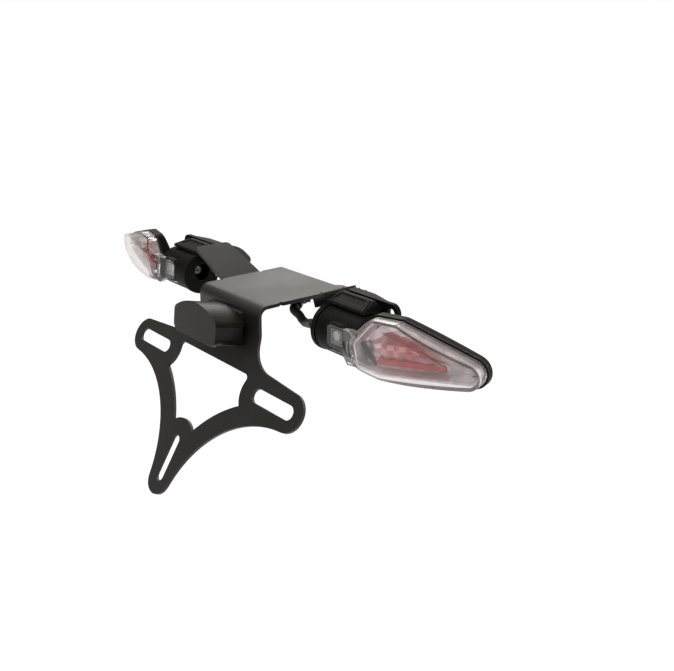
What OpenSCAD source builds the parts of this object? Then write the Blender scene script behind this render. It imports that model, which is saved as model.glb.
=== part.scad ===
// Tail tidy for a motorbike: a folded sheet bracket with a number plate panel,
// a number plate lamp and a pair of combined rear indicators.
// Millimetres. X is across the bike (+X its right side), +Y forward, +Z up.
// The origin is the middle of the four tail bolt holes, on the tongue's top face.

/* [Bracket sheet] */
// thickness of the steel sheet
sheet_t = 2; // [1.5:0.1:3]
// width of the top plate and of the neck below it
plate_w = 59; // [50:0.5:70]
// flat length of the top plate between its two bends
plate_len = 54.5; // [48:0.5:70]
// inside radius of the bend at the back of the plate
rear_bend_r = 4; // [2:0.5:8]
// height from the knee of the panel up to the plate's top face
knee_drop = 17; // [15:0.5:26]
// inside radius of the soft bend at the knee
knee_r = 8; // [3:0.5:12]
// angle that the panel leans back from vertical
panel_tilt = 32; // [20:1:38]

/* [Tail tongue] */
// drop from the plate's top face to the tongue's top face
step_drop = 18; // [10:0.5:30]
// angle of the ramp between plate and tongue
ramp_angle = 60; // [40:1:80]
// inside radius of both ramp bends
ramp_r = 3; // [2:0.5:6]
// width of the tongue
tongue_w = 44; // [36:1:56]
// flat length of the tongue
tongue_len = 30; // [26:0.5:50]
// radius of the tongue's front corners
tongue_r = 6; // [2:0.5:8]
// distance between the tail bolts, across
bolt_gap_x = 26; // [20:1:34]
// distance between the tail bolts, along
bolt_gap_y = 16; // [12:1:20]
// diameter of the tail bolt holes
tail_hole_d = 6.5; // [5:0.1:8.5]

/* [Indicator wings] */
// length of a wing from its fold line
wing_len = 35; // [32:0.5:45]
// angle that a wing rises from level
wing_angle = 22; // [10:1:30]
// inside radius of the wing's fold
wing_r = 3; // [2:0.5:6]
// back edge of the wing at its fold, ahead of the rear bend
wing_back = 10.5; // [8:0.5:14]
// width of the wing at its fold
wing_w = 27.5; // [24:0.5:34]
// how much the wing narrows at its tip, on each edge
wing_taper = 1.2; // [0:0.1:3]
// radius of the corners at the wing's tip
wing_tip_r = 3; // [1:0.5:6]
// radius of the relief notch at the wing's root
relief_r = 1.2; // [0.8:0.1:2]

/* [Number plate panel] */
// distance from the knee to the centre line of the two side slots
slot_row = 28.5; // [26:0.5:34]
// distance of each side slot's middle from the centre line
slot_x = 60.5; // [56:0.5:70]
// length of the side slots
slot_len = 34; // [24:0.5:40]
// width of the side slots
slot_w = 8; // [6:0.1:9]
// radius of the rounded end of each arm
arm_r = 10.6; // [9:0.1:13]
// distance from the knee to the arm's top edge where it meets the neck
arm_top = 16; // [14:0.5:17]
// radius of the sweep from the neck into the arm
neck_sweep_r = 20; // [14:0.5:22]
// distance from the knee to the opening's top edge
open_top = 21; // [20:0.5:23]
// radius of the opening's top corners
open_corner_r = 2.5; // [1:0.5:4]
// radius left round the inner end of each side slot
slot_boss_r = 14; // [12:0.5:15]
// width of the band between the opening and the outer curve
band_w = 12; // [9:0.5:15]
// radius of the long outer curve from arm to tip
flank_r = 70; // [60:1:90]
// distance from the knee to the centre of the rounded tip
tip_row = 96.5; // [88:0.5:110]
// radius of the rounded tip
tip_r = 9.4; // [8.5:0.1:13]
// length of the low slot
low_slot_len = 28; // [20:0.5:34]
// width of the low slot
low_slot_w = 6.5; // [5:0.1:8]
// distance from the tip's centre up to the low slot's bottom end
low_slot_rise = -1.5; // [-3:0.5:6]
// radius of the bump left round the low slot's top end
bump_r = 13.5; // [11:0.5:15]

/* [Plate lamp] */
// width of the lamp's upper shell
lamp_w = 42.5; // [38:0.5:50]
// distance of the cover's lower edge behind the rear bend
lamp_depth = 29.8; // [27:0.2:34]
// height of the lamp from its lower edge to the top of its dome
lamp_height = 20.4; // [19:0.2:24]
// radius of the dome
dome_r = 36; // [30:1:60]
// radius of the rounded shoulders
shoulder_r = 4; // [2.5:0.5:6]
// radius of the rounded corners where the lamp meets the neck
lamp_side_r = 5; // [3:0.5:7]
// gap between the lamp and the leaning panel
panel_gap = 0.8; // [0.4:0.1:2]
// height of the lower wall up to the upper shell's lip
lamp_lip = 12.8; // [10:0.2:12.8]
// overhang of the upper shell over the lower wall
lamp_over = 0.8; // [0.4:0.1:1.2]
// radius of the lamp's lower corners
lamp_corner_r = 4.5; // [2:0.5:6]
// angle that the lamp's cover leans back from vertical
lamp_lean = 7; // [0:1:10]
// angle that the lamp's body falls towards the neck
lamp_pitch = 14; // [0:1:16]
// wall of the lamp housing
lamp_wall = 2.2; // [1.6:0.1:3]
// drop of the lamp's lower edge below the plate's top face
lamp_low = 20.2; // [18:0.2:21]
// length and width of the lamp's clear lens
lamp_lens_size = [33, 12]; // [8:0.5:38]
// depth that the lens stands below the lamp
lamp_lens_proud = 0.5; // [0.3:0.1:2.5]
// thickness of the rubber pad between lamp and neck
gasket_t = 2.5; // [1.5:0.1:4]
// distance between the two lamp screws
lamp_screw_gap = 24; // [18:0.5:28]
// height of the lamp screws above the lamp's lower edge
lamp_screw_rise = 10; // [8:0.5:12]

/* [Indicator bodies] */
// distance of the round end cap's inner face from the plate's side edge
cap_out = 33; // [30.5:0.5:36.5]
// distance of the indicator's barrel axis ahead of the rear bend
barrel_y = 16; // [14:0.5:20]
// drop of the barrel axis below the plate's top face
barrel_drop = 5.2; // [4:0.2:8]
// radius of the barrel
barrel_r = 12.6; // [11:0.1:14]
// length of the barrel from cap to lens chamber
barrel_len = 31; // [28:0.5:38]
// thickness of the round end cap
cap_t = 2.5; // [1.5:0.1:4]
// radius of the end cap
cap_r = 13; // [11.5:0.1:14]
// width of the dark groove between cap and barrel
groove_w = 1.2; // [0.6:0.1:2]
// radius of the screw well in the end cap
well_r = 5.6; // [4.5:0.1:6]
// depth of the screw well
well_depth = 8; // [4:0.2:9]
// wall of the housings
shell_t = 1.8; // [1.4:0.1:2.4]

/* [Lens chamber] */
// distance of the chamber's edge plane from the plate's side edge, at its inner end
lens_out = 70.5; // [66.5:0.5:74.5]
// distance of the edge plane ahead of the rear bend, at its inner end
lens_y = 2.5; // [1:0.5:5]
// angle that the lens sweeps forward
lens_rake = 12.4; // [6:0.2:18]
// length of the chamber from its inner to its outer end circle
lens_len = 58.5; // [50:0.5:64]
// depth of the lens wall in front of the housing
lens_wall_h = 3; // [2:0.5:7]
// thickness of the clear lens
lens_t = 2; // [1.4:0.1:2.6]
// crown radius of the lens across its height
crown_r = 24; // [22:0.5:32]
// crown radius of the lens along its length
sweep_r = 150; // [110:5:240]
// depth of the housing behind the lens wall
chamber_h = 12; // [11.5:0.5:19]
// radius of the housing's back across its height
back_r = 45; // [30:1:60]
// radius of the housing's back along its length
back_sweep_r = 420; // [300:10:600]
// how far the housing's rim stands outside the lens
rim_w = 1; // [0.5:0.1:2]
// depth that the lens reaches into the housing, ahead of the edge plane
lens_deep = 5; // [1:0.5:6]
// depth of the reflector tray
tray_depth = 1.6; // [1.2:0.1:4]
// half width of the light guide's lower arm
guide_w = 1.3; // [0.8:0.1:2]
// half width of the light guide's upper arm
guide_thin = 0.7; // [0.4:0.1:1.5]
// thickness of the light guide
guide_t = 1.8; // [1:0.1:3]
// distance from the barrel's inner end to the small inner window
window_out = 9; // [7:0.5:11]
// width of the small inner window
window_w = 12; // [10:0.5:14]
// height of the small inner window
window_h = 12; // [10:0.5:14]

/* [Fasteners and lead] */
// diameter of the weld studs under the wings
stud_d = 6; // [5:0.5:8]
// length of a weld stud below the sheet
stud_len = 13; // [12:0.5:18]
// thickness of the rubber pad under each wing
pad_t = 1.5; // [1:0.1:2.5]
// thickness of the indicator's mounting foot
foot_t = 3.5; // [3:0.1:5]
// radial clearance round studs and screws in their holes
hole_gap = 0.25; // [0.1:0.05:0.5]
// diameter of the indicator lead with its sleeve
lead_d = 5; // [3.5:0.1:5.2]
// thickness of the washers under the wing nuts
washer_t = 1.2; // [0.8:0.1:2]
// height of the wing nuts
nut_h = 5; // [4:0.1:6]
// thickness of the washers under the lamp screws' heads
lamp_washer_t = 0.8; // [0.5:0.1:1.2]

/* [Hidden] */
$fn = 64;
eps = 0.01;
// overlap that joins a flat to its bend
lap = 0.2;
// how far a straight edge stays inside the arc that it runs into
nick = 0.02;
relief_in = relief_r - 0.3;
plate_half = plate_w / 2;
bend_out_r = rear_bend_r + sheet_t;
knee_set = knee_r * tan(panel_tilt / 2);
wing_set = wing_r * tan(wing_angle / 2);
neck_flat = knee_drop - bend_out_r - knee_set;
panel_len = tip_row + tip_r + 5;
ramp_len = (step_drop - (2 * ramp_r + sheet_t) * (1 - cos(ramp_angle))) / sin(ramp_angle);
ramp_run = (2 * ramp_r + sheet_t) * sin(ramp_angle) + ramp_len * cos(ramp_angle);
tongue_y = plate_len + ramp_run;
bolt_y = tongue_y + tongue_len / 2 + 1;
// places on the panel, measured across and down from the knee
arm_c = [slot_x + (slot_len - slot_w) / 2, slot_row];
boss_c = [slot_x - (slot_len - slot_w) / 2, slot_row];
tip_c = [0, tip_row];
low_slot_end = tip_row - low_slot_rise - low_slot_w / 2;
low_slot_top = low_slot_end - (low_slot_len - low_slot_w);
flank_a = flank_r + arm_r;
flank_b = flank_r + tip_r;
arm_to_tip = norm(tip_c - arm_c);
flank_u = (tip_c - arm_c) / arm_to_tip;
flank_along = (flank_a * flank_a - flank_b * flank_b + arm_to_tip * arm_to_tip) / (2 * arm_to_tip);
flank_off = sqrt(flank_a * flank_a - flank_along * flank_along);
flank_c = arm_c + flank_along * flank_u + flank_off * [flank_u[1], -flank_u[0]];
corner_dy = slot_row - open_top - open_corner_r;
corner_c = [boss_c[0] - sqrt(pow(slot_boss_r + open_corner_r, 2) - corner_dy * corner_dy), open_top + open_corner_r];
corner_touch = corner_c + (boss_c - corner_c) * open_corner_r / (slot_boss_r + open_corner_r);
// lamp places, from the plate's top face and the neck
lamp_back = -bend_out_r - gasket_t;
lamp_screw_z = -lamp_low + lamp_screw_rise;
lamp_screw_d = 3;
lamp_head_h = 2;
lamp_hold = 3.5;
gasket_in = 0.5;
// wing places, along and across the wing
stud_u = 22.5;
stud_v = wing_back + wing_w / 2 + 1;
foot_len = 23;
foot_back = wing_back + 8;
foot_front = wing_back + wing_w + 5.5;
foot_corner_r = 9;
wing_under = -sheet_t;
pad_under = wing_under - pad_t;
foot_under = pad_under - foot_t;
// indicator places
cap_x = plate_half + cap_out;
lens_x = plate_half + lens_out;
barrel_x = cap_x + cap_t + groove_w;
barrel_end = barrel_x + barrel_len;
well_off = [0.5, 1.2];
cap_screw_d = 3.5;
lead_r = lead_d / 2;
lead_port = [-9.6, 1.4];
chamber_mid = lens_len / 2;
window_x = barrel_x + window_out;
window_top = 1.9;
rib_top = 12.6;

// shared forms

// moves a piece drawn in the plate's frame (z = 0 on the plate's top face,
// y = 0 at its rear bend) to the row's origin at the tail bolts
module at_bolts() {
    translate([0, -bolt_y, step_drop]) children();
}

// draws a piece for the right side on the side named by 1 or -1
module on_side(side) {
    at_bolts() if (side > 0) children();
    else mirror([1, 0, 0]) children();
}

// a sector of a ring between two angles
module ring_sector(r_in, r_out, from, to) {
    reach = 2 * r_out;
    mid = (from + to) / 2;
    intersection() {
        difference() {
            circle(r_out);
            circle(r_in);
        }
        polygon([[0, 0], reach * [cos(from), sin(from)], reach * [cos(mid), sin(mid)], reach * [cos(to), sin(to)]]);
    }
}

// edge view of the folded sheet: a flat is [length], a bend is [inside radius, angle],
// and a positive angle turns the sheet down
module sheet_run(steps, i = 0) {
    if (i < len(steps)) {
        s = steps[i];
        if (len(s) == 1) {
            translate([i == 0 ? 0 : -lap, -sheet_t]) square([s[0] + (i == 0 ? lap : 2 * lap), sheet_t]);
            translate([s[0], 0]) sheet_run(steps, i + 1);
        } else if (s[1] > 0) {
            translate([0, -s[0] - sheet_t]) {
                ring_sector(s[0] + nick, s[0] + sheet_t - nick, 90 - s[1], 90);
                rotate(-s[1]) translate([0, s[0] + sheet_t]) sheet_run(steps, i + 1);
            }
        } else {
            translate([0, s[0]]) {
                ring_sector(s[0] + nick, s[0] + sheet_t - nick, -90, -90 - s[1]);
                rotate(-s[1]) translate([0, -s[0]]) sheet_run(steps, i + 1);
            }
        }
    }
}

// stands an edge view up along the bike and gives it a width across
module across(width) {
    rotate([90, 0, 90]) linear_extrude(width, center = true) children();
}

// a slot with round ends, lying along x
module slot_2d(length, width) {
    square([length - width, width], center = true);
    for (s = [-1, 1]) translate([s * (length - width) / 2, 0]) circle(width / 2);
}

// a rectangle with rounded corners, from its low corner
module round_rect(size, r) {
    translate([r, 0]) square([size[0] - 2 * r, size[1]]);
    translate([0, r]) square([size[0], size[1] - 2 * r]);
    for (x = [r, size[0] - r], y = [r, size[1] - r]) translate([x, y]) circle(r);
}

// both halves of a shape drawn for x > 0
module both_halves() {
    children();
    mirror([1, 0]) children();
}

// bracket

// flat outline of neck and panel, across and down from the knee
module panel_outline() {
    both_halves() {
        difference() {
            union() {
                translate([0, -2 * knee_drop]) square([plate_half, 2 * knee_drop + slot_row]);
                translate([0, arm_top - neck_sweep_r]) square([plate_half + neck_sweep_r, neck_sweep_r]);
                polygon([[0, arm_top], [plate_half + neck_sweep_r, arm_top], arm_c - [0, arm_r - nick], arm_c, [0, slot_row]]);
                polygon([[0, slot_row], arm_c, flank_c, tip_c]);
            }
            translate([plate_half + neck_sweep_r, arm_top - neck_sweep_r]) circle(neck_sweep_r - nick, $fn = 120);
            translate(flank_c) circle(flank_r - nick, $fn = 240);
        }
        translate(arm_c) circle(arm_r);
        translate(tip_c) circle(tip_r);
    }
}

// the open middle of the panel
module panel_opening() {
    both_halves() difference() {
        union() {
            translate([0, open_top]) square([corner_c[0], tip_row - open_top]);
            translate([0, corner_touch[1]]) square([boss_c[0], tip_row - corner_touch[1]]);
            translate(corner_c) circle(open_corner_r - nick);
        }
        translate(boss_c) circle(slot_boss_r);
        translate(flank_c) circle(flank_r + band_w, $fn = 240);
        translate([0, low_slot_top]) circle(bump_r);
        translate([0, low_slot_top]) square([bump_r - nick, tip_row]);
    }
}

module panel_cuts() {
    panel_opening();
    for (s = [-1, 1]) translate([s * slot_x, slot_row]) slot_2d(slot_len, slot_w);
    translate([0, (low_slot_top + low_slot_end) / 2]) rotate(90) slot_2d(low_slot_len, low_slot_w);
}

// puts a flat drawing of the panel on the panel's back face
module on_panel() {
    translate([0, -bend_out_r, -knee_drop]) rotate([-90 - panel_tilt, 0, 0]) children();
}

// neck and panel: the folded edge view cut to the flat outline
module rear_sheet() {
    intersection() {
        across(2 * (arm_c[0] + arm_r + 5)) mirror([1, 0]) translate([-1, 0])
            sheet_run([[1], [rear_bend_r, 90], [neck_flat], [knee_r, -panel_tilt], [panel_len]]);
        union() {
            on_panel() linear_extrude(60, center = true) difference() {
                panel_outline();
                panel_cuts();
            }
            translate([-plate_half, -bend_out_r - 1, -knee_drop]) cube([plate_w, bend_out_r + 4, knee_drop + 1]);
        }
    }
}

// plate outline seen from above, with the narrower tongue in front
module plate_plan() {
    translate([-plate_half, -1]) square([plate_w, plate_len + 3]);
    translate([-tongue_w / 2, plate_len]) square([tongue_w, ramp_run + tongue_len - tongue_r]);
    translate([-tongue_w / 2 + tongue_r, plate_len]) square([tongue_w - 2 * tongue_r, ramp_run + tongue_len]);
    for (s = [-1, 1])
        translate([s * (tongue_w / 2 - tongue_r), tongue_y + tongue_len - tongue_r]) circle(tongue_r);
}

module plate_sheet() {
    difference() {
        intersection() {
            across(plate_w) translate([1, 0])
                sheet_run([[plate_len - 1], [ramp_r, ramp_angle], [ramp_len], [ramp_r, -ramp_angle], [tongue_len]]);
            translate([0, 0, -2 * step_drop]) linear_extrude(3 * step_drop) plate_plan();
        }
        for (x = [-1, 1], y = [-1, 1])
            translate([x * bolt_gap_x / 2, bolt_y + y * bolt_gap_y / 2, -step_drop - 2 * sheet_t])
                cylinder(h = 4 * sheet_t, d = tail_hole_d);
        for (s = [-1, 1], y = [wing_back - relief_in, wing_back + wing_w + relief_in])
            translate([s * plate_half, y, -2 * sheet_t]) cylinder(h = 4 * sheet_t, r = relief_r);
    }
}

// flat outline of one wing, along and across from its fold line
module wing_outline() {
    r = wing_tip_r;
    x = wing_len - r;
    root = 1;
    round_chain([[0, wing_back + root - 10 * nick, root], [x, wing_back + wing_taper + r, r],
        [x, wing_back + wing_w - wing_taper - r, r], [0, wing_back + wing_w - root + 10 * nick, root]]);
}

// one wing, folded up along the plate's edge: a strip cut to the flat outline
module wing_sheet() {
    inner = 6;
    intersection() {
        translate([plate_half - inner, wing_back + wing_w, 0]) rotate([90, 0, 0]) linear_extrude(wing_w)
            sheet_run([[inner - wing_set], [wing_r, -wing_angle], [wing_len]]);
        union() {
            translate([0, wing_back - 1, -5]) cube([plate_half + 2, wing_w + 2, 8]);
            on_wing() translate([0, 0, -5]) linear_extrude(8) wing_outline();
        }
    }
}

module bracket() {
    color("#2b2b2b") at_bolts() {
        difference() {
            rear_sheet();
            lamp_holes();
        }
        plate_sheet();
        wing_sheet();
        mirror([1, 0, 0]) wing_sheet();
    }
}

// fixings under the wings

// the wing's own frame: x along the wing from its fold, z square to its top face
module on_wing() {
    translate([plate_half, 0, 0]) rotate([0, -wing_angle, 0]) children();
}

module at_stud() {
    on_wing() translate([stud_u, stud_v, 0]) children();
}

module weld_studs() {
    color("#8a8a86") for (side = [-1, 1])
        on_side(side) at_stud() translate([0, 0, wing_under - stud_len]) cylinder(h = stud_len, d = stud_d);
}

module foot_outline(inset = 0) {
    translate([stud_u - foot_len / 2 + inset, foot_back + inset])
        round_rect([foot_len - 2 * inset, foot_front - foot_back - 2 * inset], foot_corner_r - inset);
}

module mounting_pad(side) {
    color("#161616") on_side(side) difference() {
        on_wing() translate([0, 0, pad_under]) linear_extrude(pad_t) foot_outline();
        at_stud() translate([0, 0, pad_under - 1]) cylinder(h = pad_t + 2, r = stud_d / 2 + hole_gap);
    }
}

module stud_washers() {
    color("#b5b5b0") for (side = [-1, 1])
        on_side(side) at_stud() translate([0, 0, foot_under - washer_t]) difference() {
            cylinder(h = washer_t, d = 2 * stud_d);
            translate([0, 0, -1]) cylinder(h = washer_t + 2, r = stud_d / 2 + hole_gap);
        }
}

module stud_nuts() {
    color("#b5b5b0") for (side = [-1, 1])
        on_side(side) at_stud() translate([0, 0, foot_under - washer_t - nut_h]) difference() {
            linear_extrude(nut_h) polygon([for (i = [0:5]) stud_d * 0.96 * [cos(60 * i), sin(60 * i)]]);
            translate([0, 0, -1]) cylinder(h = nut_h + 2, d = stud_d);
        }
}

// number plate lamp

lamp_half = lamp_w / 2;
shoulder_x = lamp_half - shoulder_r;
dome_side = asin(shoulder_x / (dome_r - shoulder_r));
dome_z = lamp_height - dome_r;
shoulder_z = dome_z + (dome_r - shoulder_r) * cos(dome_side);
corner_x = lamp_half - lamp_corner_r;

// outline of the lamp from behind; z = 0 at its lower edge
module lamp_outline(inset = 0) {
    w = lamp_half - inset;
    ray = dome_r * [sin(dome_side), cos(dome_side)];
    translate([-w, lamp_corner_r]) square([2 * w, shoulder_z - lamp_corner_r]);
    translate([-corner_x, inset]) square([2 * corner_x, shoulder_z - inset]);
    for (s = [-1, 1]) {
        translate([s * corner_x, lamp_corner_r]) circle(lamp_corner_r - inset);
        translate([s * shoulder_x, shoulder_z]) circle(shoulder_r - inset);
    }
    intersection() {
        translate([0, dome_z]) circle(dome_r - inset - nick, $fn = 200);
        polygon([[-shoulder_x, shoulder_z], [-shoulder_x - ray[0], shoulder_z + ray[1]],
            [shoulder_x + ray[0], shoulder_z + ray[1]], [shoulder_x, shoulder_z]]);
    }
}

// the lamp's own frame: y from its cover down towards the neck
module on_lamp() {
    translate([0, -lamp_depth, -lamp_low]) rotate([-lamp_pitch, 0, 0]) children();
}

// the space in front of the cover's outer face
module lamp_front() {
    rotate([lamp_pitch - lamp_lean, 0, 0]) translate([-lamp_w, 0, -lamp_height]) cube([2 * lamp_w, 2 * lamp_depth, 3 * lamp_height]);
}

// an outline given a depth from the cover
module lamp_run(from, to) {
    translate([0, to, 0]) rotate([90, 0, 0]) linear_extrude(to - from) children();
}

lamp_seat_h = 3;
lamp_ledge = 1.2;
lamp_fit = 0.1;
lamp_mid_y = (lamp_depth + lamp_back) / 2 - 0.5;
cover_t = 2.4;
lamp_side = lamp_half + lamp_wall;

// a box round the lens's middle, from z, inset all round
module lamp_block(z, h, inset) {
    l = lamp_lens_size[0] - 2 * inset;
    w = lamp_lens_size[1] - 2 * inset;
    on_lamp() translate([-l / 2, lamp_mid_y - w / 2, z]) cube([l, w, h]);
}

// everything between the cover and the neck, clear of the leaning panel
module lamp_room() {
    difference() {
        translate([-lamp_half - 0.1, -2 * lamp_depth, -2 * lamp_low]) linear_extrude(3 * lamp_low)
            round_rect([lamp_w + 0.2, 2 * lamp_depth + lamp_back], lamp_side_r);
        translate([-lamp_w, -bend_out_r - panel_gap, -knee_drop]) rotate([-panel_tilt, 0, 0])
            translate([0, 0, -2 * knee_drop]) cube([2 * lamp_w, 2 * knee_drop, 2 * knee_drop + panel_gap]);
    }
}

module lamp_housing() {
    color("#232323") at_bolts() difference() {
        intersection() {
            on_lamp() {
                // upper shell with its lip
                intersection() {
                    lamp_run(-cover_t, lamp_depth) lamp_outline();
                    translate([-lamp_w, -2 * cover_t, lamp_lip]) cube([2 * lamp_w, 2 * lamp_depth, lamp_height]);
                }
                // lower wall, set in under the lip
                lamp_run(-cover_t, lamp_depth) lamp_outline(lamp_over);
                // cover with the full outline
                lamp_run(-cover_t, cover_t) lamp_outline();
            }
            on_lamp() lamp_front();
            lamp_room();
        }
        lamp_block(-1, lamp_seat_h + 1, 0);
        lamp_block(0, lamp_lip, lamp_ledge);
        // screw holes in the back
        for (s = [-1, 1]) translate([s * lamp_screw_gap / 2, lamp_back + 1, lamp_screw_z])
            rotate([90, 0, 0]) cylinder(h = lamp_hold + 1.5, r = lamp_screw_d / 2);
    }
}

module lamp_lens() {
    l = lamp_lens_size[0] - 2 * lamp_fit;
    w = lamp_lens_size[1] - 2 * lamp_fit;
    bow_r = (pow(l / 2, 2) + lamp_lens_proud * lamp_lens_proud) / (2 * lamp_lens_proud);
    color([0.85, 0.87, 0.88, 0.5]) at_bolts() difference() {
        // lower face bowed a little along its length
        on_lamp() lamp_run(lamp_mid_y - w / 2, lamp_mid_y + w / 2) {
            translate([-l / 2, 0]) square([l, lamp_seat_h]);
            intersection() {
                translate([0, bow_r - lamp_lens_proud]) circle(bow_r, $fn = 300);
                translate([-l / 2, -lamp_lens_proud]) square([l, lamp_lens_proud + 1]);
            }
        }
        lamp_block(1, lamp_seat_h, lamp_ledge + lamp_fit + 0.8);
    }
}

lamp_board_t = 1.6;
module lamp_board() {
    color("#d8d8d0") at_bolts() lamp_block(lamp_lip - lamp_board_t, lamp_board_t, lamp_ledge + lamp_fit);
}

lamp_led = 3.5;
lamp_led_h = 1.2;
lamp_led_gap = 9;
module lamp_leds() {
    color("#f4efc0") at_bolts() on_lamp() for (s = [-1, 0, 1])
        translate([s * lamp_led_gap - lamp_led / 2, lamp_mid_y - lamp_led / 2, lamp_lip - lamp_board_t - lamp_led_h])
            cube([lamp_led, lamp_led, lamp_led_h]);
}

module lamp_gasket() {
    w = 2 * (lamp_half - lamp_side_r - gasket_in);
    color("#141414") at_bolts() difference() {
        translate([-w / 2, lamp_back, -bend_out_r - neck_flat]) cube([w, gasket_t, neck_flat]);
        for (s = [-1, 1]) translate([s * lamp_screw_gap / 2, lamp_back + gasket_t + 1, lamp_screw_z])
            rotate([90, 0, 0]) cylinder(h = gasket_t + 2, r = lamp_screw_d / 2 + hole_gap);
    }
}

// holes through the neck for the lamp screws
module lamp_holes() {
    for (s = [-1, 1]) translate([s * lamp_screw_gap / 2, 1, lamp_screw_z])
        rotate([90, 0, 0]) cylinder(h = bend_out_r + gasket_t + 1, r = lamp_screw_d / 2 + hole_gap);
}

neck_front = -bend_out_r + sheet_t;
module lamp_screws() {
    shank = lamp_washer_t + sheet_t + gasket_t + lamp_hold;
    color("#b5b5b0") at_bolts() for (s = [-1, 1])
        translate([s * lamp_screw_gap / 2, neck_front + lamp_washer_t, lamp_screw_z]) rotate([90, 0, 0]) {
            cylinder(h = shank, d = lamp_screw_d);
            translate([0, 0, -lamp_head_h]) cylinder(h = lamp_head_h, d = 1.9 * lamp_screw_d);
        }
}

module lamp_washers() {
    color("#b5b5b0") at_bolts() for (s = [-1, 1])
        translate([s * lamp_screw_gap / 2, neck_front + lamp_washer_t, lamp_screw_z]) rotate([90, 0, 0])
            difference() {
            cylinder(h = lamp_washer_t, d = 2.4 * lamp_screw_d);
            translate([0, 0, -1]) cylinder(h = lamp_washer_t + 2, r = lamp_screw_d / 2 + hole_gap);
        }
}

// indicators

// outline round a chain of circles [across, up, radius], given anticlockwise
module round_chain(c) {
    n = len(c);
    edges = [for (i = [0:n - 1])
        let (a = c[i], b = c[(i + 1) % n], d = [b[0] - a[0], b[1] - a[1]], l = norm(d),
            k = (a[2] - b[2]) / l, u = d / l, q = u * k + [u[1], -u[0]] * sqrt(1 - k * k))
        each [[a[0], a[1]] + (a[2] - nick) * q, [b[0], b[1]] + (b[2] - nick) * q]];
    polygon(edges);
    for (p = c) translate([p[0], p[1]]) circle(p[2]);
}

// lens outline in the chamber's edge plane, across from its inner end
lens_chain = [[-0.5, -3, 5], [2, -10.3, 5.5], [12.3, -9.5, 7.5], [lens_len, -2.8, 6.7], [20.5, 6.4, 7], [9.2, 6, 6.8]];
module lens_outline(inset = 0) {
    round_chain([for (c = lens_chain) [c[0], c[1], c[2] - inset]]);
}

// the chamber's edge plane: x along the lens, y up, z out to the back of the bike
module on_lens(z = 0) {
    translate([lens_x, lens_y, 0]) rotate([0, 0, lens_rake]) rotate([90, 0, 0]) translate([0, 0, z]) children();
}

// a spindle lying along the lens, its crown at height h above the edge plane
module crown(h, cross_r, long_r, at = chamber_mid - 2) {
    translate([at, -1.5, h - cross_r]) rotate([0, 90, 0]) rotate_extrude($fn = 96) intersection() {
        translate([cross_r - long_r, 0]) circle(long_r, $fn = 360);
        translate([0, -1.5 * lens_len]) square([cross_r, 3 * lens_len]);
    }
}

// a block with the lens outline, from its floor to its crowned top
module lens_block(floor, top, inset) {
    intersection() {
        translate([0, 0, floor]) linear_extrude(top - floor) lens_outline(inset);
        crown(top, crown_r - inset, sweep_r);
    }
}

lens_top = lens_wall_h + 4.5;
lens_seat = -lens_deep;
rim_top = lens_seat + 0.6;
fit = 0.1;
rim_gap = 0.6;

// pane of the inner window and the clear slope from it to the main lens
pane_y = barrel_y - barrel_r - 0.1;
pane_t = 2.2;
window_r = 2.5;
pane_room = pane_t + 5;
slope_rise = 3.2;
module window_outline(inset = 0) {
    translate([window_x + inset, window_top - window_h + inset])
        round_rect([window_w - 2 * inset, window_h - 2 * inset], window_r - inset);
}
module slope_outline(inset = 0) {
    x1 = window_x + window_w - 3;
    round_chain([
        [x1 + 1, window_top - window_h + 1, 1 - inset], [x1 + 8, -14, 1 - inset],
        [lens_x + 1, -11, 2 - inset], [lens_x, 1.5, 2 - inset], [x1 + 8, 2.2, 1 - inset], [x1 + 1, window_top - 1, 1 - inset]]);
}

// the slope rises from the window to the wall of the main lens
module slope_block(inset) {
    intersection() {
        at_pane(pane_t) linear_extrude(pane_t + slope_rise) slope_outline(inset);
        translate([0, 0, -20]) linear_extrude(40) polygon([
            [window_x, pane_y + pane_t], [window_x, pane_y], [window_x + window_w, pane_y],
            [lens_x, pane_y - slope_rise], [lens_x + 4, pane_y - slope_rise], [lens_x + 4, pane_y + pane_t]]);
    }
}

module at_pane(back = 0) {
    translate([0, pane_y + back, 0]) rotate([90, 0, 0]) children();
}

module lens(side) {
    color([0.9, 0.86, 0.86, 0.45]) on_side(side) difference() {
        union() {
            on_lens() lens_block(lens_seat, lens_top, fit);
            at_pane(pane_t) linear_extrude(pane_t) window_outline(fit);
            slope_block(fit);
        }
        on_lens() lens_block(lens_seat - 1, lens_top - lens_t, fit + lens_t);
        // the slope stops at the chamber
        on_lens() translate([0, 0, lens_seat - chamber_h]) linear_extrude(chamber_h) lens_outline(-fit);
    }
}

rib_x = cap_x + groove_w;
rib_back = barrel_y + 4;
rib_front = barrel_y + 9;
rib_end = barrel_end - 6;
rib_r = 5.5;
rib_edge = 1.8;
rib_low = 2;
hood_y = barrel_y - 2.5;
hood_z = barrel_r - barrel_drop + 0.8;
hood_lip = 1.3;
bar_back = rib_front + 2.5;
bar_front = bar_back + 6;
bar_end = barrel_end + 4;
bar_r = 5;
bar_wall = 2.5;

// outline of a rib from behind, its end rounded down
module rib_side(end, r) {
    translate([rib_x, 0]) square([end - r - rib_x, rib_top]);
    translate([end - r, rib_top - r]) circle(r);
    translate([end - r, 0]) square([r, rib_top - r]);
}

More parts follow.
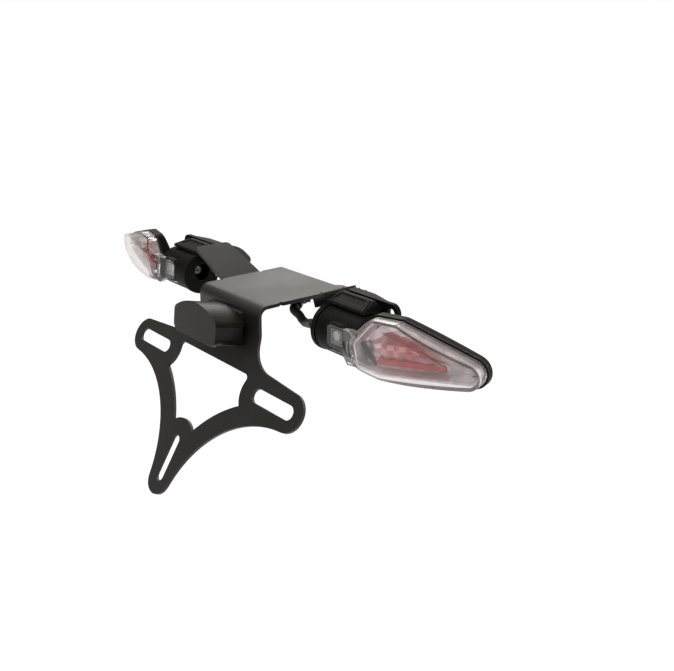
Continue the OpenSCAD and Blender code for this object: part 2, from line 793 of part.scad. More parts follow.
module housing_ribs() {
    // rear rib: a hood that slopes down over the barrel, with a gap below its lip
    intersection() {
        translate([rib_x, 0, 0]) rotate([90, 0, 90]) linear_extrude(rib_end - rib_x) polygon([
            [hood_y, hood_z], [rib_back, hood_z], [rib_back, rib_low], [rib_front, rib_low],
            [rib_front, rib_top - nick], [rib_front - rib_edge, rib_top - nick], [hood_y, hood_z + hood_lip]]);
        translate([0, rib_front + 1, 0]) rotate([90, 0, 0]) linear_extrude(rib_front) rib_side(rib_end, rib_r);
    }
    // front bar, open underneath and at its rounded end, thinner towards that end
    intersection() {
        translate([0, bar_front, 0]) rotate([90, 0, 0]) linear_extrude(bar_front - bar_back) difference() {
            rib_side(bar_end, bar_r);
            translate([rib_x + 9, -1]) square([bar_end - 3 * bar_r - rib_x - 9, rib_top - bar_wall + 1]);
            translate([bar_end - bar_r, rib_top - bar_r]) circle(bar_r - bar_wall);
            translate([bar_end - 2 * bar_r, -1]) square([2 * bar_r + 1, rib_top - bar_r - 1]);
        }
        translate([0, 0, -1]) linear_extrude(2 * rib_top) polygon([
            [rib_x, bar_back - 1], [bar_end + 1, bar_back - 1], [bar_end + 1, bar_back + bar_wall],
            [bar_end - 2 * bar_r, bar_back + bar_wall], [rib_x + 3 * bar_r, bar_front - nick], [rib_x, bar_front - nick]]);
    }
    // web that ties ribs and foot together
    translate([rib_x, rib_front - 3, -2]) cube([9, bar_back + 4.5 - rib_front, rib_top - 1]);
    translate([rib_x, rib_front - 1, -2]) cube([rib_end - 2 - rib_x, bar_back + 2 - rib_front, 10.5]);
}

// rounded back of the lens chamber, deepest near its inner end
module back_form(inset) {
    mirror([0, 0, 1]) crown(chamber_h - inset, back_r - inset, back_sweep_r - inset, 10);
}

module housing(side) {
    cap_plug_r = well_r + shell_t;
    color("#1e1e1e") on_side(side) difference() {
        union() {
            // barrel with a rounded outer end
            translate([barrel_x, barrel_y, -barrel_drop]) rotate([0, 90, 0]) rotate_extrude($fn = 96) {
                square([barrel_r, barrel_len - 6]);
                square([barrel_r - 6, barrel_len]);
                translate([barrel_r - 6, barrel_len - 6]) circle(6);
            }
            // lens chamber, rounded behind
            on_lens() intersection() {
                translate([0, 0, -chamber_h - 4]) linear_extrude(chamber_h + 4 + rim_top) lens_outline(-rim_w);
                back_form(0);
            }
            housing_ribs();
            // foot and its neck
            on_wing() translate([0, 0, foot_under]) linear_extrude(foot_t) foot_outline();
            on_wing() translate([stud_u + 4, foot_back + 4, foot_under]) cube([foot_len / 2 + 1, 16, foot_t - 0.4]);
            // frame of the inner window
            at_pane(pane_room - 1) linear_extrude(pane_room - 1.6) window_outline(-1.2);
        }
        // room for the end cap's rim
        translate([cap_x - 4, barrel_y, -barrel_drop]) rotate([0, 90, 0]) cylinder(h = barrel_x - cap_x + 4, r = cap_r + rim_gap);
        // hollow of the chamber
        on_lens() {
            translate([0, 0, lens_seat]) linear_extrude(2 * chamber_h) lens_outline();
            intersection() {
                translate([0, 0, -chamber_h]) linear_extrude(2 * chamber_h) lens_outline(shell_t);
                back_form(shell_t);
            }
        }
        // seats of the window pane and the clear slope
        at_pane(pane_t) linear_extrude(window_w) {
            window_outline();
            slope_outline();
        }
        at_pane(pane_room) linear_extrude(window_w) window_outline(shell_t);
        // bore for the cap's cup, the cap screw and the lead
        translate([barrel_x - 1, barrel_y + well_off[0], -barrel_drop + well_off[1]]) rotate([0, 90, 0]) {
            cylinder(h = 1 + cap_x + well_depth + shell_t - barrel_x + fit, r = cap_plug_r + fit);
            cylinder(h = well_depth + cap_hold + 3, d = cap_screw_d);
        }
        if (side > 0) translate([barrel_x - 1, barrel_y + lead_port[0], lead_port[1] - barrel_drop])
            rotate([0, 90, 0]) cylinder(h = 4, r = lead_r + fit);
        // hole for the wing's stud
        at_stud() translate([0, 0, foot_under - 1]) cylinder(h = foot_t + 2, r = stud_d / 2 + hole_gap);
    }
}

module end_cap(side) {
    color("#262626") on_side(side) translate([cap_x, barrel_y, -barrel_drop]) rotate([90, 0, 90]) difference() {
        union() {
            cylinder(h = cap_t, r = cap_r);
            cylinder(h = cap_t + groove_w, r = barrel_r - 1.2);
            translate([well_off[0], well_off[1], 0]) cylinder(h = well_depth + shell_t, r = well_r + shell_t);
        }
        translate([well_off[0], well_off[1], -1]) {
            cylinder(h = well_depth + 1, r = well_r);
            cylinder(h = well_depth + shell_t + 2, r = cap_screw_d / 2 + hole_gap);
        }
        if (side > 0) translate([lead_port[0], lead_port[1], -1])
            cylinder(h = cap_t + groove_w + 2, r = lead_r + fit);
    }
}

cap_head_h = 2.2;
cap_hold = 9.5;
cross_w = 0.9;
module cap_screws() {
    color("#c8c8c4") for (side = [-1, 1])
        on_side(side) translate([cap_x + well_depth, barrel_y + well_off[0], well_off[1] - barrel_drop])
            rotate([0, 90, 0]) {
                cylinder(h = cap_hold, d = cap_screw_d);
                translate([0, 0, -cap_head_h]) difference() {
                    cylinder(h = cap_head_h, r = 0.75 * cap_screw_d);
                    for (a = [0, 90]) rotate(a) translate([-cross_w / 2, -cap_screw_d / 2, -1])
                        cube([cross_w, cap_screw_d, cap_head_h]);
                }
            }
}

// stack inside the chamber, measured from the edge plane
tray_top = lens_seat;
tray_floor = tray_top - tray_depth;
tray_t = 1;
board_t = 1.2;
led_size = 1.6;
guide_low = lens_len * [0.165, -0.165];
guide_high = lens_len * [0.21, 0.08];
guide_mid = lens_len * [0.5, 0.02];
guide_tip = lens_len * [0.75, -0.08];
// a point part of the way from one place to another
function between(a, b, t) = a + (b - a) * t;
led_rows = [between(guide_low, guide_tip, 0.1), between(guide_low, guide_tip, 0.5),
    between(guide_low, guide_tip, 0.9)];

// tray with a bezel wall that stands up inside the lens
bezel_in = lens_t + 3 * fit;
bezel_t = 0.7;
bezel_top = lens_seat + 4.5;
module reflector(side) {
    color("#b9b2b2") on_side(side) on_lens() difference() {
        union() {
            translate([0, 0, tray_floor]) linear_extrude(tray_top - tray_floor) lens_outline(shell_t + fit);
            translate([0, 0, tray_floor]) linear_extrude(bezel_top - tray_floor) lens_outline(bezel_in);
        }
        translate([0, 0, tray_floor + tray_t]) linear_extrude(2 * chamber_h) lens_outline(bezel_in + bezel_t);
        for (p = led_rows) translate([p[0], p[1], tray_floor - 1]) cylinder(h = 2 * tray_depth, r = led_size * 0.75);
    }
}

module led_board(side) {
    color("#3d5a3f") on_side(side) on_lens()
        translate([0, 0, tray_floor - board_t]) linear_extrude(board_t) lens_outline(2 * shell_t + tray_t);
}

module turn_leds() {
    color("#d9d39a") for (side = [-1, 1]) on_side(side) on_lens()
        for (p = led_rows) translate([p[0] - led_size / 2, p[1] - led_size / 2, tray_floor])
            cube([led_size, led_size, tray_t - fit]);
}

// V-shaped light guide, its point to the outer end
module guide_arm(a, b, w) {
    round_chain([[a[0], a[1], w], [b[0], b[1], w]]);
}

module light_guide(side) {
    color("#a3202a") on_side(side) on_lens() translate([0, 0, tray_floor + tray_t]) linear_extrude(guide_t) {
        guide_arm(guide_low, guide_tip, guide_w);
        guide_arm(guide_high, guide_mid, guide_thin);
        guide_arm(guide_mid, guide_tip, guide_thin);
    }
}

module window_led_boards() {
    color("#d0d0c8") for (side = [-1, 1]) on_side(side)
        at_pane(pane_room) linear_extrude(board_t) window_outline(shell_t + fit);
}

window_led_r = 2.5;
module window_leds() {
    color("#f1ead0") for (side = [-1, 1]) on_side(side)
        translate([window_x + window_w / 2 - 1.5, pane_y + pane_room - board_t, window_top - window_h / 2])
            rotate([90, 0, 0]) cylinder(h = window_led_r, r = window_led_r);
}

// right indicator's lead

lead_hang = -sheet_t - lead_r - hole_gap;
lead_cap = [cap_x, barrel_y + lead_port[0], lead_port[1] - barrel_drop];
// under the plate, past its edge, down below the wing's foot and back up to the end cap
lead_route = [
    [0.34 * plate_half, 0.75 * plate_len, 1.5 * lead_hang],
    [0.5 * plate_half, 0.7 * plate_len, 1.3 * lead_hang],
    [0.68 * plate_half, 0.6 * plate_len, lead_hang],
    [0.84 * plate_half, 0.47 * plate_len, lead_hang],
    [0.98 * plate_half, 0.35 * plate_len, lead_hang],
    [plate_half + 0.85 * lead_d, barrel_y - 0.1 * lead_d, lead_hang],
    [plate_half + 1.45 * lead_d, barrel_y + 0.1 * lead_d, -barrel_drop - 0.3 * lead_d],
    [plate_half + 2.05 * lead_d, barrel_y + 0.1 * lead_d, -barrel_drop - 0.75 * lead_d],
    [plate_half + 2.9 * lead_d, barrel_y - 0.1 * lead_d, -barrel_drop - 0.8 * lead_d],
    [cap_x - 2.5 * lead_d, barrel_y - 0.65 * lead_d, -barrel_drop - 0.4 * lead_d],
    [cap_x - 1.3 * lead_d, barrel_y - 1.3 * lead_d, -barrel_drop + 0.1 * lead_d],
    lead_cap - [0.4 * lead_d, 0, 0],
    lead_cap,
    lead_cap + [1.1 * lead_d, 0, 0]];

function mid_point(p, i, t) =
    let (a = p[max(i - 1, 0)], b = p[i], c = p[i + 1], d = p[min(i + 2, len(p) - 1)])
    0.5 * (2 * b + (c - a) * t + (2 * a - 5 * b + 4 * c - d) * t * t + (3 * b - a - 3 * c + d) * t * t * t);

// a round tube along a smooth route
module tube(route, r, sides = 10, steps = 3) {
    n = len(route);
    pts = concat([for (i = [0:n - 2], k = [0:steps - 1]) mid_point(route, i, k / steps)], [route[n - 1]]);
    m = len(pts);
    rings = [for (i = [0:m - 1])
        let (d = pts[min(i + 1, m - 1)] - pts[max(i - 1, 0)], u = d / norm(d),
            v0 = cross(u, [0.3, 0.2, 1]), v = v0 / norm(v0), w = cross(u, v))
        for (k = [0:sides - 1]) pts[i] + r * (v * cos(360 * k / sides) + w * sin(360 * k / sides))];
    faces = concat(
        [[for (k = [0:sides - 1]) k]],
        [for (i = [0:m - 2], k = [0:sides - 1])
            [i * sides + k, (i + 1) * sides + k, (i + 1) * sides + (k + 1) % sides, i * sides + (k + 1) % sides]],
        [[for (k = [sides - 1:-1:0]) (m - 1) * sides + k]]);
    polyhedron(rings, faces, convexity = 8);
}

module lead_right() {
    color("#101010") at_bolts() tube(lead_route, lead_r);
}

plug_size = [9, 14, 7];
module lead_plug() {
    color("#1a1a1a") at_bolts() difference() {
        translate(lead_route[0]) rotate(atan2(-3, 5)) translate([-plug_size[1] + 2, -plug_size[0] / 2, -plug_size[2] / 2])
            cube([plug_size[1], plug_size[0], plug_size[2]]);
        tube(lead_route, lead_r);
    }
}

clip_size = [5, 10];
clip_places = [between(lead_route[1], lead_route[2], 0.5), between(lead_route[3], lead_route[4], 0.4)];
module lead_clips() {
    color("#151515") at_bolts() for (p = clip_places) difference() {
        translate([p[0] - clip_size[0] / 2, p[1] - clip_size[1] / 2, p[2] - lead_r - 1])
            cube([clip_size[0], clip_size[1], lead_r + 1 - sheet_t - p[2]]);
        tube(lead_route, lead_r + eps);
    }
}

bracket();
weld_studs();
stud_washers();
stud_nuts();
mounting_pad(-1);  // mounting_pad_left
mounting_pad(1);  // mounting_pad_right
lamp_housing();
lamp_lens();
lamp_board();
lamp_leds();
lamp_gasket();
lamp_screws();
lamp_washers();
housing(-1);  // housing_left
housing(1);  // housing_right
end_cap(-1);  // end_cap_left
end_cap(1);  // end_cap_right
cap_screws();
lens(-1);  // lens_left
lens(1);  // lens_right
reflector(-1);  // reflector_left
reflector(1);  // reflector_right
light_guide(-1);  // light_guide_left
light_guide(1);  // light_guide_right
led_board(-1);  // led_board_left
led_board(1);  // led_board_right
turn_leds();
window_led_boards();
window_leds();
lead_right();
lead_plug();
lead_clips();
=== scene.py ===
# Tail tidy: folded sheet bracket, plate lamp and a pair of rear indicators.
# The solids come from the frame. This script gives them their finishes, and adds the fine optics,
# the raised borders of the rear ribs and the straps that hold the lead.
import math
import bmesh
import bpy
import numpy as np
from mathutils import Matrix, Vector


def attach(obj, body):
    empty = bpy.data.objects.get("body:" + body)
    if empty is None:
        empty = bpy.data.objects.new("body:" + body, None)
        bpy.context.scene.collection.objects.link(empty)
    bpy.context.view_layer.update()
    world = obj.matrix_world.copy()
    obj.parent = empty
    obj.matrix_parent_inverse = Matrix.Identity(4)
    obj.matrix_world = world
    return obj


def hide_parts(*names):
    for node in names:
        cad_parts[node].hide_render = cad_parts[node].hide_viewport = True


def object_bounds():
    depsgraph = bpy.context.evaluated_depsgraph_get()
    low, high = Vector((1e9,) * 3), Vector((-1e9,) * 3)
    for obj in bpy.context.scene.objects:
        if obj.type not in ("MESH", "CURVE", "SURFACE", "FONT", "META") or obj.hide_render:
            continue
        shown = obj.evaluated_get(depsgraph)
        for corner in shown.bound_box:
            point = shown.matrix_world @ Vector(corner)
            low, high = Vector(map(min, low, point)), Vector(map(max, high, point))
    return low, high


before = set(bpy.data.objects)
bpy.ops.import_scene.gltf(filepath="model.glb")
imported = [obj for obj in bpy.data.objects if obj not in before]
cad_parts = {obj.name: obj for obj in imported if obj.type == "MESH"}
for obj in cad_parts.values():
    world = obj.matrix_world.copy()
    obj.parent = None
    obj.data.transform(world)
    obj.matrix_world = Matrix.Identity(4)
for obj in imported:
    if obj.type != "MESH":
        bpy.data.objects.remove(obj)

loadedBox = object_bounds()
mm = 0.001
perMetre = 1000  # a pattern's scale is this over its real size in millimetres
waveSpan = 314  # a Wave node's scale is this over the width of its bands in millimetres

# small helpers

def hexToLinear(text):
    # sRGB hex to linear: c / 12.92 below 0.04045, else ((c + 0.055) / 1.055) ** 2.4
    c = np.array([int(text[i:i + 2], 16) / 255 for i in (1, 3, 5)])
    c = np.where(c <= 0.04045, c / 12.92, ((c + 0.055) / 1.055) ** 2.4)
    return (*c.tolist(), 1.0)


def setInputs(tree, node, inputs):
    # each input as a value, or as a socket to link from
    for key, value in inputs.items():
        if isinstance(value, bpy.types.NodeSocket):
            tree.links.new(value, node.inputs[key])
        else:
            node.inputs[key].default_value = value


def addNode(tree, kind, settings=None, inputs=None, stops=()):
    # a node with its settings and inputs; stops are a colour ramp's places and hex colours
    node = tree.nodes.new(kind)
    for key, value in (settings or {}).items():
        setattr(node, key, value)
    setInputs(tree, node, inputs or {})
    for i, (place, colour) in enumerate(stops):
        node.color_ramp.elements[i].position = place
        node.color_ramp.elements[i].color = hexToLinear(colour)
    return node


def startMaterial(name):
    # a material that shows one shader, and the coordinates of the object it is on
    mat = bpy.data.materials.new(name)
    mat.use_nodes = True
    tree = mat.node_tree
    tree.nodes.clear()
    shader = addNode(tree, "ShaderNodeBsdfPrincipled")
    addNode(tree, "ShaderNodeOutputMaterial", inputs={"Surface": shader.outputs["BSDF"]})
    coords = addNode(tree, "ShaderNodeTexCoord").outputs["Object"]
    return mat, tree, shader, coords


def showSurface(tree, socket):
    # the material shows this shader in place of its first one
    out = next(n for n in tree.nodes if n.type == "OUTPUT_MATERIAL")
    tree.links.new(socket, out.inputs["Surface"])


def mirroredOffset(tree, coords, middle, half):
    # (|x|, y, z), and that less the middle over the half size: one mask then serves both sides
    away = addNode(tree, "ShaderNodeVectorMath", {"operation": "ABSOLUTE"}, {0: coords}).outputs["Vector"]
    offset = addNode(tree, "ShaderNodeVectorMath", {"operation": "SUBTRACT"}, {0: away, 1: middle})
    scaled = addNode(tree, "ShaderNodeVectorMath", {"operation": "DIVIDE"}, {
        0: offset.outputs["Vector"], 1: half})
    return away, scaled.outputs["Vector"]


# materials: sizes and depths are in millimetres, and a pair of roughnesses is the least and the most

powderCoat = {
    "name": "satinPowderCoat", "base": "#1d1c1a", "pale": "#252422", "peelSize": 1.1, "peelDepth": 0.012,
    "dustSize": 45, "roughness": (0.38, 0.47), "sheen": 0.44, "edgeRound": 0.35}


def makePowderCoat(s):
    # satin black polyester powder on mild steel: an even sheen with a faint orange peel
    mat, tree, shader, coords = startMaterial(s["name"])
    dust = addNode(tree, "ShaderNodeTexNoise", inputs={
        "Vector": coords, "Scale": perMetre / s["dustSize"], "Detail": 4.0, "Roughness": 0.55})
    colour = addNode(tree, "ShaderNodeValToRGB", inputs={"Fac": dust.outputs["Fac"]}, stops=[
        (0.35, s["base"]), (0.7, s["pale"])])
    peel = addNode(tree, "ShaderNodeTexNoise", inputs={
        "Vector": coords, "Scale": perMetre / s["peelSize"], "Detail": 2.0})
    rough = addNode(tree, "ShaderNodeMapRange", inputs={
        "Value": dust.outputs["Fac"], "From Min": 0.3, "From Max": 0.7,
        "To Min": s["roughness"][0], "To Max": s["roughness"][1]})
    edge = addNode(tree, "ShaderNodeBevel", {"samples": 4}, {"Radius": s["edgeRound"] * mm})
    bump = addNode(tree, "ShaderNodeBump", inputs={
        "Height": peel.outputs["Fac"], "Distance": s["peelDepth"] * mm, "Strength": 0.6,
        "Normal": edge.outputs["Normal"]})
    setInputs(tree, shader, {
        "Base Color": colour.outputs["Color"], "Roughness": rough.outputs["Result"],
        "Normal": bump.outputs["Normal"], "Specular IOR Level": s["sheen"]})
    return mat


# the edge colour is a painted highlight laid along rounded edges
mouldedPlastic = {"cloudSize": 22, "edgeHighlightColour": "#5c5b58"}
grainedNylon = {
    **mouldedPlastic, "name": "grainedNylon", "base": "#0d0d0d", "pale": "#151514",
    "grainSize": 0.7, "grainDepth": 0.02, "roughness": (0.42, 0.58), "sheen": 0.08, "edgeRound": 0.4}
satinAbs = {
    **mouldedPlastic, "name": "satinAbs", "base": "#191713", "pale": "#221f1a",
    "grainSize": 0.9, "grainDepth": 0.012, "roughness": (0.26, 0.42), "sheen": 0.2, "edgeRound": 0.5}
mouldedPlug = {
    **mouldedPlastic, "name": "mouldedPlug", "base": "#191919", "pale": "#222222",
    "grainSize": 0.5, "grainDepth": 0.015, "roughness": (0.42, 0.58), "sheen": 0.5, "edgeRound": 0.2}

# the seat behind the window pane and the clear slope, in metres, right side
windowSeat = {
    "middle": (0.0886, 0.080008, 0.012), "half": (0.0129, 0.0003, 0.0082),
    "landWay": (0.21474, 0.97667, 0.0), "landDepth": 0.097537, "landSlack": 0.00002, "landFrom": 0.09,
    "colour": "#e4e1df", "metallic": 0.25, "roughness": 0.25, "fluteWidth": 1.6, "fluteDepth": 0.3}


def makeMoulded(s, seat=None):
    # injection moulded black plastic with a fine spark-eroded grain and a painted highlight along its rounded
    # edges; seat is a place that is metallised
    mat, tree, shader, coords = startMaterial(s["name"])
    cloud = addNode(tree, "ShaderNodeTexNoise", inputs={
        "Vector": coords, "Scale": perMetre / s["cloudSize"], "Detail": 3.0})
    colour = addNode(tree, "ShaderNodeValToRGB", inputs={"Fac": cloud.outputs["Fac"]}, stops=[
        (0.35, s["base"]), (0.75, s["pale"])])
    pits = addNode(tree, "ShaderNodeTexNoise", inputs={
        "Vector": coords, "Scale": perMetre / s["grainSize"], "Detail": 3.0, "Roughness": 0.6})
    rough = addNode(tree, "ShaderNodeMapRange", inputs={
        "Value": pits.outputs["Fac"], "To Min": s["roughness"][0], "To Max": s["roughness"][1]})
    edge = addNode(tree, "ShaderNodeBevel", {"samples": 4}, {"Radius": s["edgeRound"] * mm})
    bump = addNode(tree, "ShaderNodeBump", inputs={
        "Height": pits.outputs["Fac"], "Distance": s["grainDepth"] * mm, "Strength": 0.5,
        "Normal": edge.outputs["Normal"]})
    # painted highlight: where the rounded normal leaves the face's own, the colour is painted lighter, as if
    # the edge caught light
    face = addNode(tree, "ShaderNodeNewGeometry").outputs["Normal"]
    likeness = addNode(tree, "ShaderNodeVectorMath", {"operation": "DOT_PRODUCT"}, {
        0: edge.outputs["Normal"], 1: face})
    paintedEdgeHighlight = addNode(tree, "ShaderNodeMapRange", inputs={
        "Value": likeness.outputs["Value"], "From Min": 0.86, "From Max": 0.99, "To Min": 0.8, "To Max": 0.0})
    edgeHighlighted = addNode(tree, "ShaderNodeMix", {"data_type": "RGBA"}, {
        0: paintedEdgeHighlight.outputs["Result"], 6: colour.outputs["Color"], 7: hexToLinear(s["edgeHighlightColour"])})
    setInputs(tree, shader, {
        "Base Color": edgeHighlighted.outputs[2], "Roughness": rough.outputs["Result"],
        "Normal": bump.outputs["Normal"], "Specular IOR Level": s["sheen"]})
    if seat:
        metalliseSeat(tree, shader, coords, seat)
    return mat


def metalliseSeat(tree, shader, coords, s):
    # a fluted bright film where the largest of the three scaled distances from the seat's middle is under 1
    away, scaled = mirroredOffset(tree, coords, s["middle"], s["half"])
    size = addNode(tree, "ShaderNodeVectorMath", {"operation": "ABSOLUTE"}, {0: scaled})
    x, y, z = addNode(tree, "ShaderNodeSeparateXYZ", inputs={0: size.outputs["Vector"]}).outputs
    wider = addNode(tree, "ShaderNodeMath", {"operation": "MAXIMUM"}, {0: x, 1: y})
    reach = addNode(tree, "ShaderNodeMath", {"operation": "MAXIMUM"}, {0: wider.outputs[0], 1: z})
    inside = addNode(tree, "ShaderNodeMath", {"operation": "LESS_THAN"}, {0: reach.outputs[0], 1: 1.0})
    # the land that the lens wall stands on is bright too: its plane is (|x|, y, z) . landWay = landDepth
    depth = addNode(tree, "ShaderNodeVectorMath", {"operation": "DOT_PRODUCT"}, {0: away, 1: s["landWay"]})
    onPlane = addNode(tree, "ShaderNodeMath", {"operation": "COMPARE"}, {
        0: depth.outputs["Value"], 1: s["landDepth"], 2: s["landSlack"]})
    outward = addNode(tree, "ShaderNodeSeparateXYZ", inputs={0: away}).outputs[0]
    beyond = addNode(tree, "ShaderNodeMath", {"operation": "GREATER_THAN"}, {0: outward, 1: s["landFrom"]})
    land = addNode(tree, "ShaderNodeMath", {"operation": "MULTIPLY"}, {
        0: onPlane.outputs[0], 1: beyond.outputs[0]})
    bright = addNode(tree, "ShaderNodeMath", {"operation": "MAXIMUM"}, {
        0: inside.outputs[0], 1: land.outputs[0]})
    flute = addNode(tree, "ShaderNodeTexWave", {"bands_direction": "X"}, {
        "Vector": coords, "Scale": waveSpan / s["fluteWidth"], "Distortion": 0.4})
    ridge = addNode(tree, "ShaderNodeBump", inputs={
        "Height": flute.outputs["Fac"], "Distance": s["fluteDepth"] * mm, "Strength": 0.8})
    film = addNode(tree, "ShaderNodeBsdfPrincipled", inputs={
        "Base Color": hexToLinear(s["colour"]), "Metallic": s["metallic"], "Roughness": s["roughness"],
        "Normal": ridge.outputs["Normal"]})
    mix = addNode(tree, "ShaderNodeMixShader", inputs={
        0: bright.outputs[0], 1: shader.outputs["BSDF"], 2: film.outputs["BSDF"]})
    showSurface(tree, mix.outputs["Shader"])


# haze is how milky the clear part is face on, and at its edges
lensPolycarbonate = {
    "name": "clearPolycarbonate", "tint": "#fffbfb", "milk": "#f4f1f0", "ior": 1.5, "haze": (0.015, 0.6),
    "roughness": (0.02, 0.06), "waveSize": 9.0, "waveDepth": 0.05}
lampAcrylic = {
    "name": "clearLampAcrylic", "tint": "#9c9e9a", "milk": "#f4f1f0", "ior": 1.5, "haze": (0.0, 0.05),
    "roughness": (0.12, 0.16), "waveSize": 3.0, "waveDepth": 0.05}


def makeClear(s):
    # moulded clear plastic: faint flow waves, and a milky haze that gathers at its edges
    mat, tree, shader, coords = startMaterial(s["name"])
    wave = addNode(tree, "ShaderNodeTexNoise", inputs={
        "Vector": coords, "Scale": perMetre / s["waveSize"], "Detail": 1.0})
    bump = addNode(tree, "ShaderNodeBump", inputs={
        "Height": wave.outputs["Fac"], "Distance": s["waveDepth"] * mm, "Strength": 0.5})
    rough = addNode(tree, "ShaderNodeMapRange", inputs={
        "Value": wave.outputs["Fac"], "To Min": s["roughness"][0], "To Max": s["roughness"][1]})
    setInputs(tree, shader, {
        "Base Color": hexToLinear(s["tint"]), "IOR": s["ior"], "Transmission Weight": 1.0,
        "Roughness": rough.outputs["Result"], "Normal": bump.outputs["Normal"]})
    turned = addNode(tree, "ShaderNodeLayerWeight", inputs={"Blend": 0.35}).outputs["Facing"]
    milk = addNode(tree, "ShaderNodeMapRange", inputs={
        "Value": turned, "From Min": 0.4, "From Max": 0.9, "To Min": s["haze"][0], "To Max": s["haze"][1]})
    white = addNode(tree, "ShaderNodeBsdfDiffuse", inputs={"Color": hexToLinear(s["milk"])})
    mix = addNode(tree, "ShaderNodeMixShader", inputs={
        0: milk.outputs["Result"], 1: shader.outputs["BSDF"], 2: white.outputs["BSDF"]})
    showSurface(tree, mix.outputs["Shader"])
    return mat


zincPlate = {
    "name": "zincPlatedSteel", "base": "#9b9a94", "pale": "#d6d4cc", "roughness": (0.28, 0.48),
    "filmSize": 4.0}
blackenedSteel = {
    "name": "blackenedSteel", "base": "#141414", "pale": "#d6d4cc", "roughness": (0.42, 0.62),
    "filmSize": 2.0}


def makePlatedSteel(s):
    # plated steel: a cloudy film, dull bright on zinc and nearly black with pale patches on the dark screw
    mat, tree, shader, coords = startMaterial(s["name"])
    film = addNode(tree, "ShaderNodeTexNoise", inputs={
        "Vector": coords, "Scale": perMetre / s["filmSize"], "Detail": 3.0})
    colour = addNode(tree, "ShaderNodeValToRGB", inputs={"Fac": film.outputs["Fac"]}, stops=[
        (0.3, s["base"]), (0.75, s["pale"])])
    rough = addNode(tree, "ShaderNodeMapRange", inputs={
        "Value": film.outputs["Fac"], "To Min": s["roughness"][0], "To Max": s["roughness"][1]})
    setInputs(tree, shader, {
        "Base Color": colour.outputs["Color"], "Roughness": rough.outputs["Result"], "Metallic": 1.0})
    return mat


padRubber = {
    "name": "epdmRubber", "base": "#151515", "bloom": "#242423", "bloomSize": 9, "bloomDepth": 0.03,
    "roughness": 0.72}


def makeRubber(s):
    # moulded EPDM rubber: matt, with a dusty bloom
    mat, tree, shader, coords = startMaterial(s["name"])
    bloom = addNode(tree, "ShaderNodeTexNoise", inputs={
        "Vector": coords, "Scale": perMetre / s["bloomSize"], "Detail": 5.0})
    colour = addNode(tree, "ShaderNodeValToRGB", inputs={"Fac": bloom.outputs["Fac"]}, stops=[
        (0.35, s["base"]), (0.8, s["bloom"])])
    bump = addNode(tree, "ShaderNodeBump", inputs={
        "Height": bloom.outputs["Fac"], "Distance": s["bloomDepth"] * mm, "Strength": 0.5})
    setInputs(tree, shader, {
        "Base Color": colour.outputs["Color"], "Roughness": s["roughness"],
        "Normal": bump.outputs["Normal"]})
    return mat


leadSleeve = {
    "name": "wovenSleeve", "thread": "#1b1c1b", "gap": "#0b0c0b", "threadSize": 0.9, "threadDepth": 0.12,
    "roughness": 0.6}


def makeSleeve(s):
    # woven polyester sleeve over the wires: small round crossings with darker gaps between them
    mat, tree, shader, coords = startMaterial(s["name"])
    weave = addNode(tree, "ShaderNodeTexVoronoi", {"feature": "F1"}, {
        "Vector": coords, "Scale": perMetre / s["threadSize"], "Randomness": 0.35})
    colour = addNode(tree, "ShaderNodeValToRGB", inputs={"Fac": weave.outputs["Distance"]}, stops=[
        (0.1, s["thread"]), (0.6, s["gap"])])
    bump = addNode(tree, "ShaderNodeBump", {"invert": True}, {
        "Height": weave.outputs["Distance"], "Distance": s["threadDepth"] * mm, "Strength": 0.7})
    setInputs(tree, shader, {
        "Base Color": colour.outputs["Color"], "Roughness": s["roughness"],
        "Normal": bump.outputs["Normal"]})
    return mat


# the painted reflection of the red guide has its middle and its reach in metres of the frame, right side
trayFilm = {
    "name": "metallisedTray", "dark": "#c9c5cc", "bright": "#fffafb", "hazeSize": 7, "metallic": 0.45,
    "roughness": 0.18, "tint": "#e0666e", "redReflectionPlace": (0.1204, 0.0734, 0.015),
    "redReflectionSize": (0.024, 0.03, 0.011)}
# the window's liner has no red guide near it, so no painted red reflection
linerFilm = {**trayFilm, "name": "metallisedLiner", "tint": None}


def makeMirrorFilm(s):
    # aluminium evaporated on a moulded part; a painted reflection of the red guide lies on it where the guide
    # is near
    mat, tree, shader, coords = startMaterial(s["name"])
    haze = addNode(tree, "ShaderNodeTexNoise", inputs={
        "Vector": coords, "Scale": perMetre / s["hazeSize"], "Detail": 3.0})
    colour = addNode(tree, "ShaderNodeValToRGB", inputs={"Fac": haze.outputs["Fac"]}, stops=[
        (0.35, s["dark"]), (0.65, s["bright"])]).outputs["Color"]
    # painted reflection: the tint colour stands in for the red guide seen in the mirror film, fading away
    # from the guide
    if s["tint"]:
        scaled = mirroredOffset(tree, coords, s["redReflectionPlace"], s["redReflectionSize"])[1]
        reach = addNode(tree, "ShaderNodeVectorMath", {"operation": "LENGTH"}, {0: scaled})
        paintedRedReflection = addNode(tree, "ShaderNodeMapRange", {"interpolation_type": "SMOOTHSTEP"}, {
            "Value": reach.outputs["Value"], "From Min": 0.2, "From Max": 1.1, "To Min": 0.72, "To Max": 0.0})
        colour = addNode(tree, "ShaderNodeMix", {"data_type": "RGBA"}, {
            0: paintedRedReflection.outputs["Result"], 6: colour, 7: hexToLinear(s["tint"])}).outputs[2]
    setInputs(tree, shader, {
        "Base Color": colour, "Metallic": s["metallic"], "Roughness": s["roughness"]})
    return mat


# the guide turns from thick to thin between two heights, in metres of the frame
guideAcrylic = {
    "name": "redAcrylic", "deep": "#cc000a", "bright": "#e4141e", "thin": "#f0a0a2", "mottleSize": 6,
    "thinFrom": 0.0135, "thinTo": 0.0165, "clearness": (0.12, 0.7), "ior": 1.49, "roughness": 0.12}


